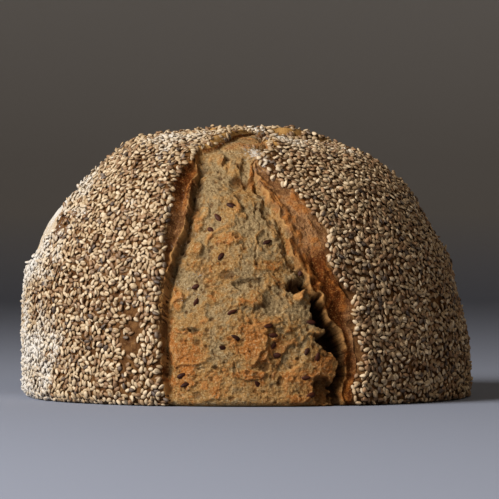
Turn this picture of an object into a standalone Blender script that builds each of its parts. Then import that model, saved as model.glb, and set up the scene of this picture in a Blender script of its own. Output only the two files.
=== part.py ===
"""A round seeded rye loaf: a tall dome of crust, cut with a cross that burst open in the oven, with sesame
seeds baked on to the four quarters between the cuts and flax seeds showing in the torn crumb.

Metres, +Z up. The loaf stands on its flat underside, and the wide burst faces -Y.
A place on the loaf is given by its turn, the angle round from the front towards +X, and its drop, the angle
down from the top, both seen from the middle of the underside.
"""

import math

import bmesh
import bpy
import numpy as np
from mathutils import Matrix, Vector

# The dome. Left is -X and right is +X, and the two sides differ a little.
LOAF_HEIGHT = 0.1215
LEFT_REACH = 0.1013
RIGHT_REACH = 0.1008
LEFT_FULLNESS = 2.75
RIGHT_FULLNESS = 2.42
LEFT_FOOT_ROUND = 0.0060
RIGHT_FOOT_ROUND = 0.0030
LUMP_SIZE = 0.045
LUMP_HEIGHT = 0.0007
# Where the dome swells out or sinks in, as (turn, drop, reach round, reach down, height), angles in degrees.
SWELLINGS = (
    (-90, 26, 55, 10, 0.0036),
    (-90, 54, 60, 13, 0.0036),
    (90, 20, 50, 8, -0.0018),
    (90, 33, 50, 6, -0.0006),
    (90, 47, 45, 8, -0.0040),
    (90, 63, 55, 9, -0.0024),
    (0, 74, 22, 18, 0.0012),
)

# Each cut's two edges as (drop in degrees, distance to the side in metres) from the cut's middle line.
FRONT_LEFT_EDGE = (
    (0, 0.0045), (5, 0.0015), (10, -0.0017), (17, -0.0075), (22.5, -0.0120), (26, -0.0155), (27.5, -0.0230),
    (31.5, -0.0247), (33.5, -0.0303), (39, -0.0327), (45, -0.0338), (50, -0.0354), (58, -0.0365),
    (64, -0.0373), (79, -0.0368), (86, -0.0359), (90, -0.0338),
)
FRONT_RIGHT_EDGE = (
    (0, 0.0245), (15, 0.0225), (21, 0.0178), (25, 0.0133), (28, 0.0088), (31.3, 0.0040), (34, 0.0075),
    (37.5, 0.0135), (41, 0.0220), (47, 0.0276), (50.5, 0.0327), (57.3, 0.0334), (60, 0.0363),
    (62.8, 0.0424), (67, 0.0436), (70, 0.0457), (77, 0.0489), (81, 0.0485), (84, 0.0472), (90, 0.0465),
)
BACK_EDGE = ((0, 0.006), (30, 0.012), (45, 0.021), (66, 0.030), (90, 0.027))
LEFT_EDGE = ((0, 0.004), (20, 0.010), (29, 0.024), (36, 0.031), (50, 0.038), (56, 0.030), (61, -0.004))
RIGHT_EDGE = ((0, 0.004), (30, 0.008), (45, 0.014), (51, 0.012), (54, -0.004))
# How far past the middle of the top each cut starts: front, right, back, left.
CUT_STARTS = (0.004, 0.004, -0.016, 0.004)

# Across a burst, going in from the seeded edge: a smooth sloping band, a torn lip, a crevice, then the crumb.
# The front cut's two sides are given as (drop in degrees, band width, lip depth, crevice depth, inner width),
# the inner width being that of the slope between the crevice and the crumb.
FRONT_LEFT_PROFILE = (
    (0, 0.0012, 0.0008, 0.0018, 0.0020),
    (31, 0.0012, 0.0028, 0.0045, 0.0030),
    (34, 0.0062, 0.0036, 0.0067, 0.0039),
    (43, 0.0066, 0.0036, 0.0074, 0.0070),
    (51, 0.0066, 0.0036, 0.0072, 0.0060),
    (57, 0.0041, 0.0036, 0.0060, 0.0048),
    (66, 0.0066, 0.0033, 0.0046, 0.0016),
    (71, 0.0058, 0.0030, 0.0043, 0.0016),
    (74, 0.0028, 0.0028, 0.0040, 0.0015),
    (90, 0.0012, 0.0015, 0.0022, 0.0014),
)
FRONT_RIGHT_PROFILE = (
    (0, 0.0010, 0.0008, 0.0018, 0.0010),
    (31, 0.0010, 0.0010, 0.0028, 0.0011),
    (35, 0.0034, 0.0020, 0.0043, 0.0012),
    (38, 0.0075, 0.0028, 0.0054, 0.0012),
    (41, 0.0120, 0.0037, 0.0058, 0.0012),
    (48, 0.0098, 0.0042, 0.0067, 0.0034),
    (52, 0.0106, 0.0043, 0.0074, 0.0048),
    (60, 0.0062, 0.0046, 0.0086, 0.0110),
    (66, 0.0088, 0.0045, 0.0086, 0.0086),
    (71, 0.0074, 0.0044, 0.0086, 0.0064),
    (73, 0.0071, 0.0043, 0.0086, 0.0094),
    (77, 0.0066, 0.0043, 0.0086, 0.0044),
    (90, 0.0042, 0.0040, 0.0060, 0.0032),
)
FRONT_CRUMB_DEPTHS = (
    (0, 0.0014), (24, 0.0018), (28, 0.0028), (33, 0.0040), (45, 0.0047), (60, 0.0043), (72, 0.0028),
    (85, 0.0018), (90, 0.0016),
)
# The same measures of the right, back and left cuts.
BAND_WIDTHS = (0.0045, 0.0055, 0.0040)
LIP_DEPTHS = (0.0040, 0.0036, 0.0010)
CREVICE_DEPTHS = (0.0075, 0.0080, 0.0016)
CRUMB_DEPTHS = (0.0050, 0.0046, 0.0014)
INNER_WIDTH = 0.0045
LIP_TORN = (0.6, 1.0, 0.1)
# How craggy the crumb of each cut is: front, right, back, left.
CRAGGINESS = (1.0, 0.9, 1.0, 0.12)
# From this drop on, the front cut's lip is torn.
TORN_FROM = 24.0
EDGE_STEP = 0.0006
EDGE_RAGGEDNESS = 0.0011
LIP_RISE = 0.0010
FALL_WIDTH = 0.0014
RISE_FROM = 0.0014
RISE_WIDTH = 0.0020
BAND_HOLLOW = 0.0014
RIM_RISE = 0.0006
RIM_REACH = 0.0045
CAVITY_DEPTH = 0.013
CAVITY_FROM = 60.5
CAVITY_TO = 79.0
LEDGE_DROP = 55.5
LEDGE_REACH = 0.0012
LEDGE_WIDTH = 2.5
LEDGE_HALF_TURN = 0.075
CRAG_SIZE = 0.0085
CRAG_HEIGHT = 0.0017
# The far half of the top stands a little higher round this place, (to the right, back).
FLAP_PLACE = (0.008, 0.0)
FLAP_RISE = 0.0022
FLAP_RADIUS = 0.030
FLAP_SLOPE = 0.006

# The mesh that is pulled into shape, and what is kept of it.
SPHERE_SEGMENTS = 336
SPHERE_RINGS = 190
DOME_SHARE = 0.62
CORE_TRIANGLES = 5750

# Seeds at true size, half sunk in the crust.
SESAME_SIZE = (0.0035, 0.0022, 0.0013)
SESAME_COUNT = 235
SESAME_CLEAR = 0.0022
FLAX_SIZE = (0.0046, 0.0025, 0.0014)
# Where flax seeds show on the front crumb: (distance to the right of the middle, height), in metres.
FLAX_PLACES = (
    (-0.0070, 0.0935), (-0.0130, 0.0830), (0.0090, 0.0730), (-0.0115, 0.0660), (-0.0225, 0.0495),
    (-0.0065, 0.0412), (-0.0052, 0.0303), (0.0090, 0.0347), (0.0114, 0.0266), (0.0126, 0.0205),
    (0.0280, 0.0370), (0.0260, 0.0240), (0.0305, 0.0200), (0.0250, 0.0126), (-0.0282, 0.0125),
)
BACK_FLAX_CLEAR = 0.010
SEED_SIDES = 6
SEED_RINGS = 3

CRUST_COLOUR = (0.36, 0.17, 0.065, 1.0)
RANDOM_SEED = 11


def smooth(value):
    """A ramp from 0 to 1 with soft ends."""
    value = np.clip(value, 0.0, 1.0)
    return value * value * (3.0 - 2.0 * value)


def bump(value):
    """A hill of height 1 at 0 that has gone by about 2 on either side."""
    return np.exp(-value * value)


def lattice_value(x, y, z, salt):
    """A fixed number from -1 to 1 for each point with whole coordinates."""
    mixed = x * 73856093 ^ y * 19349663 ^ z * 83492791 ^ salt * 2654435
    mixed = (mixed ^ (mixed >> 13)) * 1274126177
    return ((mixed ^ (mixed >> 16)) & 0xFFFF) / 32767.5 - 1.0


def noise(points, size, salt=0):
    """Smooth noise from -1 to 1 at an array of points, with features about one size across."""
    scaled = points / size
    whole = np.floor(scaled).astype(np.int64)
    part = smooth(scaled - whole)
    total = 0.0
    for corner in range(8):
        step = np.array([corner & 1, corner >> 1 & 1, corner >> 2 & 1])
        weight = np.prod(np.where(step, part, 1.0 - part), axis=-1)
        x, y, z = np.moveaxis(whole + step, -1, 0)
        total = total + weight * lattice_value(x, y, z, salt)
    return total


def by_drop(pairs, drop):
    """The distance at these drops, from (drop in degrees, distance) pairs."""
    drops, distances = zip(*pairs)
    return np.interp(np.degrees(drop), drops, distances)


def swelling(turn, drop):
    """How far the dome swells out at each place."""
    total = 0.0
    for middle, down, wide, tall, rise in SWELLINGS:
        aside = np.degrees(np.abs(np.angle(np.exp(1j * (turn - math.radians(middle))))))
        total = total + rise * bump(aside / wide) * bump((np.degrees(drop) - down) / tall)
    return total


def dome(turn, drop):
    """Radius and height of the bare dome, before the bursts."""
    side = np.sin(turn)
    reach = (RIGHT_REACH + LEFT_REACH) / 2 + (RIGHT_REACH - LEFT_REACH) / 2 * side
    fullness = (RIGHT_FULLNESS + LEFT_FULLNESS) / 2 + (RIGHT_FULLNESS - LEFT_FULLNESS) / 2 * side
    across = (np.sin(drop) / reach) ** fullness
    along = (np.maximum(np.cos(drop), 0.0) / LOAF_HEIGHT) ** fullness
    length = (across + along) ** (-1.0 / fullness) + swelling(turn, drop)
    radius = length * np.sin(drop)
    height = length * np.maximum(np.cos(drop), 0.0)
    foot = (RIGHT_FOOT_ROUND + LEFT_FOOT_ROUND) / 2 + (RIGHT_FOOT_ROUND - LEFT_FOOT_ROUND) / 2 * side
    under = np.clip(1.0 - height / foot, 0.0, 1.0)
    radius = radius - foot * (1.0 - np.sqrt(1.0 - under * under))
    return radius, height


def arm(turn, drop, radius, facing, start, left_edge, right_edge):
    """For one cut: how far inside its nearer edge each place is, and its share of the way across."""
    sideways = radius * np.sin(turn - facing)
    forwards = radius * np.cos(turn - facing)
    left = by_drop(left_edge, drop)
    right = by_drop(right_edge, drop)
    place = np.stack([sideways, forwards, drop * 0.1], axis=-1)
    left = left + EDGE_RAGGEDNESS * (noise(place, 0.009, 5) + noise(place, 0.003, 6) / 2)
    right = right + EDGE_RAGGEDNESS * (noise(place, 0.009, 7) + noise(place, 0.003, 8) / 2)
    inside = np.minimum(sideways - left, right - sideways)
    inside = np.minimum(inside, forwards + start)
    share = (sideways - left) / np.maximum(right - left, 0.002)
    return inside, np.clip(share, 0.0, 1.0)


def mirrored(edge):
    return tuple((drop, -distance) for drop, distance in edge)


def cuts(turn, drop, radius):
    """(inside, share) of the four cuts: front, right, back and left."""
    edges = (
        (FRONT_LEFT_EDGE, FRONT_RIGHT_EDGE),
        (mirrored(RIGHT_EDGE), RIGHT_EDGE),
        (mirrored(BACK_EDGE), BACK_EDGE),
        (mirrored(LEFT_EDGE), LEFT_EDGE),
    )
    facings = [quarter * math.pi / 2 for quarter in range(4)]
    return [arm(turn, drop, radius, *one) for one in zip(facings, CUT_STARTS, *zip(*edges))]


def front_profile(share, drop):
    """How far to the right side each place of the front cut belongs, and the cut's four measures there."""
    rightness = smooth((share - 0.42) / 0.16)
    sides = []
    for profile in (FRONT_LEFT_PROFILE, FRONT_RIGHT_PROFILE):
        drops, *measures = zip(*profile)
        sides.append([np.interp(np.degrees(drop), drops, measure) for measure in measures])
    return rightness, [left + (right - left) * rightness for left, right in zip(*sides)]


def burst_depth(turn, drop, radius, height):
    """How far the surface lies inside the dome, how far inside a cut's edge it is, and how craggy it is."""
    arms = cuts(turn, drop, radius)
    inside = np.max([one[0] for one in arms], axis=0)
    weights = np.array([np.exp(np.clip(one[0] / 0.002, -40, 40)) for one in arms])
    weights = weights / weights.sum(axis=0)
    degrees = np.degrees(drop)

    def mixed(*values):
        return sum(weight * value for weight, value in zip(weights, values))

    rightness, (front_band, front_lip, front_crevice, front_inner) = front_profile(arms[0][1], drop)
    on_left = weights[0] * (1.0 - rightness)
    on_right = weights[0] * rightness
    band = np.maximum(mixed(front_band, *BAND_WIDTHS), 0.001)
    lip = mixed(front_lip, *LIP_DEPTHS)
    crevice = mixed(front_crevice, *CREVICE_DEPTHS)
    crumb = mixed(by_drop(FRONT_CRUMB_DEPTHS, drop), *CRUMB_DEPTHS)
    inner = mixed(front_inner, INNER_WIDTH, INNER_WIDTH, INNER_WIDTH)

    past = inside - band
    torn = mixed(smooth((degrees - TORN_FROM) / 8), *LIP_TORN)
    fall_width = FALL_WIDTH + on_right * np.maximum(inner * 0.8 - FALL_WIDTH, 0.0)
    rise_from = RISE_FROM + on_right * (inner * 0.9 - RISE_FROM)
    rise_width = inner + on_right * (RISE_WIDTH - inner)
    depth = EDGE_STEP * smooth(inside / 0.001) + (lip - EDGE_STEP) * smooth(inside / (band * 0.75))
    hollow = bump((inside - band * 0.40) / (band * 0.32)) * smooth((band - 0.002) / 0.003)
    depth = depth + BAND_HOLLOW * hollow * on_left
    depth = depth - LIP_RISE * bump(past / 0.0011) * torn
    depth = depth + (crevice - lip) * smooth(past / fall_width)
    depth = depth - (crevice - crumb) * smooth((past - rise_from) / rise_width)

    cavity = on_right * smooth((degrees - CAVITY_FROM) / 3.0)
    cavity = cavity * (1.0 - 0.7 * smooth((degrees - CAVITY_TO) / 4.0))
    depth = depth + CAVITY_DEPTH * cavity * bump((past - inner * 0.52) / (inner * 0.36 + 0.0007))
    foot = smooth(height / 0.006)
    depth = depth * (0.35 + 0.65 * foot)

    rim = bump((inside + 0.002) / 0.0022) + smooth((inside + RIM_REACH * 2) / RIM_REACH) / 2
    depth = depth - RIM_RISE * rim * smooth(-inside / 0.001) * foot * smooth((radius - 0.008) / 0.012)

    half_turn = np.sin((turn - math.pi / 2) / 2)
    ledge = bump((degrees - LEDGE_DROP) / LEDGE_WIDTH) * bump(half_turn / LEDGE_HALF_TURN)
    cragginess = smooth((past - rise_from * 0.5) / 0.0025) * mixed(*CRAGGINESS)
    return depth - LEDGE_REACH * ledge, inside, cragginess


def loaf_point(turn, drop):
    """The finished surface as an array of points, and how far inside a cut's edge each lies."""
    radius, height = dome(turn, drop)
    bare = np.stack([radius * np.sin(turn), -radius * np.cos(turn), height], axis=-1)
    depth, inside, cragginess = burst_depth(turn, drop, radius, height)
    lump = LUMP_HEIGHT * noise(bare, LUMP_SIZE, 1) * smooth(height / 0.02)
    crags = CRAG_HEIGHT * (noise(bare, CRAG_SIZE, 2) + noise(bare, CRAG_SIZE / 2, 3) / 2)
    depth = depth - crags * cragginess
    from_flap = np.hypot(bare[..., 0] - FLAP_PLACE[0], bare[..., 1] - FLAP_PLACE[1])
    flap = FLAP_RISE * smooth(bare[..., 1] / FLAP_SLOPE) * smooth((FLAP_RADIUS - from_flap) / 0.012)
    flap = flap * smooth(-inside / 0.001)
    outward = np.stack([np.sin(drop) * np.sin(turn), -np.sin(drop) * np.cos(turn), np.cos(drop)], axis=-1)
    outward[..., 2] *= smooth(height / 0.012)
    moved = bare + outward * (lump - depth)[..., None]
    moved[..., 2] = np.maximum(moved[..., 2] + flap, 0.0)
    return moved, inside


def add_object(name, mesh, collection=None):
    thing = bpy.data.objects.new(name, mesh)
    (collection or bpy.context.scene.collection).objects.link(thing)
    return thing


def apply_modifiers(thing):
    with bpy.context.temp_override(object=thing, active_object=thing, selected_objects=[thing]):
        for modifier in list(thing.modifiers):
            bpy.ops.object.modifier_apply(modifier=modifier.name)


def make_core():
    """A UV sphere, its upper rings pulled on to the loaf and its lower rings closing the flat underside."""
    shape = bmesh.new()
    bmesh.ops.create_uvsphere(shape, u_segments=SPHERE_SEGMENTS, v_segments=SPHERE_RINGS, radius=1.0)
    bmesh.ops.triangulate(shape, faces=shape.faces)
    mesh = bpy.data.meshes.new("loaf")
    shape.to_mesh(mesh)
    shape.free()
    places = np.empty(len(mesh.vertices) * 3)
    mesh.vertices.foreach_get("co", places)
    x, y, z = places.reshape(-1, 3).T
    turn = np.arctan2(x, -y)
    ring = np.arccos(np.clip(z, -1.0, 1.0)) / math.pi
    on_dome = ring <= DOME_SHARE
    drop = np.minimum(ring / DOME_SHARE, 1.0) * math.pi / 2
    points, _ = loaf_point(turn, drop)
    inwards = np.where(on_dome, 1.0, (1.0 - ring) / (1.0 - DOME_SHARE))
    points[:, :2] *= inwards[:, None]
    points[~on_dome, 2] = 0.0
    mesh.vertices.foreach_set("co", points.ravel())
    mesh.update()
    core = add_object("loaf", mesh)
    fewer = core.modifiers.new("fewer_faces", "DECIMATE")
    fewer.ratio = CORE_TRIANGLES / len(mesh.polygons)
    apply_modifiers(core)
    return core


def frame_at(turn, drop):
    """Place and outward normal of the surface, and how far inside a cut's edge it lies."""
    step = 0.012
    turns = np.array([turn, turn + step, turn - step, turn, turn])
    drops = np.array([drop, drop, drop, drop + step, drop - step])
    points, inside = loaf_point(turns, drops)
    across = Vector(points[1] - points[2])
    down = Vector(points[3] - points[4])
    normal = down.cross(across).normalized()
    place = Vector(points[0])
    if normal.dot(place) < 0:
        normal.negate()
    return place, normal, float(inside[0])


def add_seed(name, collection, place, normal, spin, size):
    """One seed: a flattened drop with few sides, pointed at one end, half sunk in the surface."""
    shape = bmesh.new()
    bmesh.ops.create_uvsphere(shape, u_segments=SEED_SIDES, v_segments=SEED_RINGS, radius=0.5)
    for vertex in shape.verts:
        vertex.co.y *= 1.0 - 0.9 * max(vertex.co.x, 0.0)
    bmesh.ops.scale(shape, vec=size, verts=shape.verts)
    mesh = bpy.data.meshes.new(name)
    shape.to_mesh(mesh)
    shape.free()
    seed = add_object(name, mesh, collection)
    flat = normal.to_track_quat("Z", "Y").to_matrix().to_4x4()
    sunk = Matrix.Translation(place + normal * size[2] * 0.12)
    seed.matrix_world = sunk @ flat @ Matrix.Rotation(spin, 4, "Z")


def add_sesame(collection, chance):
    """Sesame spread evenly over the four seeded quarters, on a spiral down the dome."""
    golden = math.pi * (3.0 - math.sqrt(5.0))
    for number in range(SESAME_COUNT):
        share = (number + 0.5) / SESAME_COUNT
        drop = math.acos(1.0 - share) * 0.965
        turn = number * golden
        place, normal, inside = frame_at(turn, drop)
        if inside > -SESAME_CLEAR or place.z < 0.003:
            continue
        add_seed(f"sesame_{number}", collection, place, normal, chance.uniform(0, math.tau), SESAME_SIZE)


def front_place(sideways, height):
    """The turn and drop of a place on the front, from its distance to the side and its height."""
    drops = np.linspace(0.2, math.pi / 2, 400)
    radii, heights = dome(np.zeros_like(drops), drops)
    drop = np.interp(-height, -heights, drops)
    radius = np.interp(drop, drops, radii)
    return math.asin(sideways / radius), float(drop)


def add_flax(collection, chance):
    """Flax seeds where they show in the front crumb, and the same ones turned round to the back crumb."""
    for number, (sideways, height) in enumerate(FLAX_PLACES):
        turn, drop = front_place(sideways, height)
        for side in ("front", "back"):
            place, normal, inside = frame_at(turn if side == "front" else turn * 0.6 + math.pi, drop)
            if side == "front" or inside > BACK_FLAX_CLEAR:
                spin = chance.uniform(0, math.tau)
                add_seed(f"flax_{side}_{number}", collection, place, normal, spin, FLAX_SIZE)


def join_seeds(core):
    seeds = bpy.data.collections.new("seeds")
    bpy.context.scene.collection.children.link(seeds)
    chance = np.random.default_rng(RANDOM_SEED)
    add_sesame(seeds, chance)
    add_flax(seeds, chance)
    bpy.context.view_layer.update()
    union = core.modifiers.new("seeds_on", "BOOLEAN")
    union.operation = "UNION"
    union.operand_type = "COLLECTION"
    union.collection = seeds
    union.solver = "MANIFOLD"
    apply_modifiers(core)
    for seed in list(seeds.objects):
        bpy.data.objects.remove(seed)
    bpy.data.collections.remove(seeds)


def centre_on_origin(core):
    """Moves the loaf so that the middle of the box round it is over the origin."""
    places = np.empty(len(core.data.vertices) * 3)
    core.data.vertices.foreach_get("co", places)
    places = places.reshape(-1, 3)
    middle = (places.min(axis=0) + places.max(axis=0)) / 2
    core.data.transform(Matrix.Translation((-middle[0], -middle[1], -places[:, 2].min())))


def crust_material():
    material = bpy.data.materials.new("seeded_crust")
    material.use_nodes = True
    shader = material.node_tree.nodes["Principled BSDF"]
    shader.inputs["Base Color"].default_value = CRUST_COLOUR
    shader.inputs["Roughness"].default_value = 0.8
    shader.inputs["Metallic"].default_value = 0.0
    return material


def main():
    for thing in list(bpy.data.objects):
        bpy.data.objects.remove(thing)
    loaf = make_core()
    join_seeds(loaf)
    centre_on_origin(loaf)
    loaf.data.materials.clear()
    loaf.data.materials.append(crust_material())


main()
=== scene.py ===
import math

import bpy
import numpy as np
from mathutils import Matrix, Vector
from mathutils.kdtree import KDTree


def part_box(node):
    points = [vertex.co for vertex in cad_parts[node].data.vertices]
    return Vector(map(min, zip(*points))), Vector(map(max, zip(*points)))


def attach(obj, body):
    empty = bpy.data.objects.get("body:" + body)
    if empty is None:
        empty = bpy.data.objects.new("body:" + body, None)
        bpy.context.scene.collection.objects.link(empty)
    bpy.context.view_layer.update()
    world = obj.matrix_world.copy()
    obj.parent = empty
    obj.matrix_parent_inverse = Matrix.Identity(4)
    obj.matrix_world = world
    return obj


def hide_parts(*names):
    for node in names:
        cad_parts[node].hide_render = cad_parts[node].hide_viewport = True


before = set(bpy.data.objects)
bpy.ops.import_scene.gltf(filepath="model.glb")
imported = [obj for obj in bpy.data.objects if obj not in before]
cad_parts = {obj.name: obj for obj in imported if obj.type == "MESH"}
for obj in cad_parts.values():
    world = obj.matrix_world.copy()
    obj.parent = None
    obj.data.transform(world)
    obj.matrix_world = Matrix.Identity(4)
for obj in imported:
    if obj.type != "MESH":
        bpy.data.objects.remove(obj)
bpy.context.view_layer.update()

# A place on the loaf is a turn, the angle round from the front towards +X, and a drop, the angle down from
# the top, both seen from the middle of the underside. Lengths are metres, table angles are degrees.
loafForm = {
    "height": 0.1206, "leftReach": 0.1008, "rightReach": 0.1003,
    "leftFullness": 2.75, "rightFullness": 2.42,
    "leftFoot": 0.0060, "rightFoot": 0.0030,
    "lumpSize": 0.045, "lumpHeight": 0.0007,
    # turn, drop, reach round, reach down, height
    "swellings": (
        (-90, 26, 55, 10, 0.0024), (-90, 33, 50, 7, -0.0030), (-90, 57, 60, 13, 0.0028),
        (90, 20, 50, 8, -0.0018), (90, 33, 50, 6, -0.0006), (90, 47, 45, 8, -0.0026),
        (90, 63, 55, 9, -0.0024), (0, 74, 22, 18, 0.0012),
    ),
}

# The edges of the cuts are (drop, distance to the side of the cut's middle line).
cutForm = {
    "frontLeft": (
        (0, 0.0045), (5, 0.0015), (10, -0.0017), (17, -0.0075), (22.5, -0.0120), (26, -0.0155),
        (27.5, -0.0230), (31.5, -0.0247), (33.5, -0.0303), (39, -0.0327), (45, -0.0338),
        (50, -0.0354), (58, -0.0365), (64, -0.0373), (79, -0.0368), (86, -0.0359), (90, -0.0338),
    ),
    "frontRight": (
        (0, 0.0125), (12, 0.0098), (19, 0.0082), (22, 0.0098), (25.5, 0.0108), (28, 0.0084), (31.3, 0.0042),
        (34, 0.0075), (37.5, 0.0145), (39.2, 0.0200), (42.4, 0.0256), (46.6, 0.0311), (49.5, 0.0346),
        (53.3, 0.0349), (57, 0.0360), (59.5, 0.0385), (61.5, 0.0425), (63.5, 0.0462), (66, 0.0459),
        (70, 0.0460), (77, 0.0489), (81, 0.0485), (84, 0.0472), (90, 0.0465),
    ),
    "right": ((0, 0.004), (30, 0.008), (45, 0.014), (51, 0.012), (54, -0.004)),
    "back": ((0, 0.006), (30, 0.012), (45, 0.021), (66, 0.030), (90, 0.027)),
    "left": (
        (0, 0.004), (20, 0.008), (30, 0.010), (36, 0.015), (40, 0.024), (50, 0.034), (56, 0.030),
        (61, -0.004),
    ),
    "starts": (0.004, 0.004, -0.016, 0.004),  # how far past the middle: front, right, back, left
    "raggedness": 0.0011,
}

# Going in from the seeds: a smooth browned band, a torn lip, a crevice, then the crumb. The front cut's
# tables are (drop, distance), the other cuts' values are for right, back and left.
burstForm = {
    "leftBand": (
        (0, 0.0012), (31, 0.0012), (33.5, 0.0066), (38, 0.0078), (43, 0.0070), (51, 0.0060), (56, 0.0034),
        (60, 0.0012), (90, 0.0010),
    ),
    "leftLip": ((0, 0.0008), (26, 0.0008), (33, 0.0036), (53, 0.0036), (59, 0.0014), (90, 0.0012)),
    "leftCrevice": (
        (0, 0.0018), (26, 0.0022), (31, 0.0045), (35, 0.0074), (50, 0.0074), (57, 0.0062), (70, 0.0056),
        (82, 0.0046), (90, 0.0026),
    ),
    "leftInner": (
        (0, 0.002), (32, 0.003), (35, 0.0044), (43, 0.0070), (51, 0.0060), (61, 0.0034), (90, 0.0022),
    ),
    "rightBand": (
        (0, 0.0010), (31, 0.0010), (34, 0.0034), (37, 0.0085), (39.2, 0.0110), (42.4, 0.0128), (46.6, 0.0150),
        (49.5, 0.0160), (53.3, 0.0156), (56.6, 0.0132), (59.5, 0.0104), (62, 0.0125), (64.5, 0.0125),
        (66.5, 0.0108), (69, 0.0092), (71.8, 0.0056), (77, 0.0052), (83, 0.0046), (90, 0.0042),
    ),
    "rightLip": (
        (0, 0.0008), (31, 0.0010), (36, 0.0020), (42, 0.0032), (50, 0.0036), (60, 0.0042), (90, 0.0040),
    ),
    "rightCrevice": (
        (0, 0.0018), (31, 0.0028), (38, 0.0050), (50, 0.0066), (58, 0.0076), (62, 0.0086), (80, 0.0086),
        (90, 0.0060),
    ),
    "rightInner": (
        (0, 0.0010), (42, 0.0012), (48, 0.0020), (54, 0.0026), (61, 0.0036), (64, 0.0042), (66.2, 0.0066),
        (68.7, 0.0066), (71.8, 0.0092), (73, 0.0120), (74.2, 0.0126), (76.3, 0.0090), (78.9, 0.0052),
        (90, 0.0046),
    ),
    "crumb": (
        (0, 0.0014), (24, 0.0018), (28, 0.0028), (33, 0.0040), (45, 0.0047), (60, 0.0043), (72, 0.0028),
        (85, 0.0018), (90, 0.0016),
    ),
    "otherBands": (0.0034, 0.0055, 0.0040), "otherLips": (0.0040, 0.0036, 0.0010),
    "otherCrevices": (0.0092, 0.0080, 0.0016), "otherCrumbs": (0.0050, 0.0046, 0.0014),
    "otherInner": 0.0045,
    "edgeStep": 0.0006, "lipRise": 0.0010, "fallWidth": 0.0011, "riseWidth": 0.0017,
    "cavityDepth": 0.013, "cavityFrom": 60.0, "cavityTo": 83.0,
    "ledgeDrop": 55.5, "ledgeReach": 0.0012, "ledgeWidth": 2.5, "ledgeHalfTurn": 0.075,
    "flapPlace": 0.010, "flapRise": 0.0014, "flapRadius": 0.034, "flapSlope": 0.005,
    "nearDip": 0.0036, "nearDipLeft": 0.0011,
}

# Single marks in the front crumb: to the right, up, half width, half height, out (+) or in (-), browning.
frontMarks = (
    (-0.0118, 0.1080, 0.0015, 0.0027, 0.0017, 1.0),
    (0.0020, 0.1000, 0.0014, 0.0034, 0.0013, 1.0),
    (-0.0060, 0.1130, 0.0080, 0.0016, 0.0009, 0.6),
    (-0.0250, 0.0335, 0.0036, 0.0007, -0.0022, -0.8),
    (0.0330, 0.0066, 0.0040, 0.0062, -0.0050, -0.4),
    (-0.0300, 0.0460, 0.0020, 0.0042, 0.0012, 1.2),
    (-0.0030, 0.0380, 0.0012, 0.0060, 0.0006, 0.8),
    (0.0040, 0.0260, 0.0050, 0.0070, 0.0009, 0.7),
    (-0.0100, 0.0740, 0.0066, 0.0030, 0.0008, 0.8),
    (0.0090, 0.0620, 0.0060, 0.0020, 0.0007, 0.7),
    (-0.0009, 0.1025, 0.0018, 0.0052, -0.0012, -1.0),
    (0.0051, 0.0968, 0.0020, 0.0018, -0.0032, 0.0),
    (0.0085, 0.0880, 0.0022, 0.0048, -0.0018, -0.2),
    (-0.0237, 0.0698, 0.0040, 0.0030, 0.0019, 1.0),
    (0.0020, 0.0536, 0.0072, 0.0026, -0.0019, -0.5),
    (0.0014, 0.0468, 0.0050, 0.0044, 0.0016, 1.2),
    (0.0232, 0.0530, 0.0050, 0.0034, -0.0052, -0.3),
    (0.0242, 0.0505, 0.0018, 0.0024, 0.0042, 1.5),
    (0.0224, 0.0478, 0.0018, 0.0024, 0.0036, 1.4),
    (0.0055, 0.0790, 0.0080, 0.0120, -0.0005, -0.6),
    (0.0175, 0.0240, 0.0062, 0.0086, -0.0014, -0.8),
    (0.0125, 0.0455, 0.0042, 0.0066, -0.0010, -0.8),
    (-0.0260, 0.0510, 0.0052, 0.0090, -0.0006, -0.9),
    (-0.0135, 0.0415, 0.0050, 0.0040, -0.0008, -0.6),
    (-0.0185, 0.0930, 0.0060, 0.0110, 0.0003, -0.3),
    (-0.0255, 0.0150, 0.0030, 0.0080, 0.0007, 0.8),
    (-0.0005, 0.0140, 0.0070, 0.0022, 0.0010, 1.0),
    (0.0210, 0.0035, 0.0060, 0.0018, 0.0009, 0.8),
    (-0.0175, 0.0060, 0.0060, 0.0030, 0.0006, 0.6),
)


def ramp(value):
    value = np.clip(value, 0.0, 1.0)
    return value * value * (3.0 - 2.0 * value)


def hill(value):
    return np.exp(-value * value)


def latticeValue(x, y, z, salt):
    mixed = x * 73856093 ^ y * 19349663 ^ z * 83492791 ^ salt * 2654435
    mixed = (mixed ^ (mixed >> 13)) * 1274126177
    return ((mixed ^ (mixed >> 16)) & 0xFFFF) / 32767.5 - 1.0


def noiseAt(points, size, salt):
    scaled = points / size
    whole = np.floor(scaled).astype(np.int64)
    part = ramp(scaled - whole)
    total = 0.0
    for corner in range(8):
        step = np.array([corner & 1, corner >> 1 & 1, corner >> 2 & 1])
        weight = np.prod(np.where(step, part, 1.0 - part), axis=-1)
        x, y, z = np.moveaxis(whole + step, -1, 0)
        total = total + weight * latticeValue(x, y, z, salt)
    return total


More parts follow.
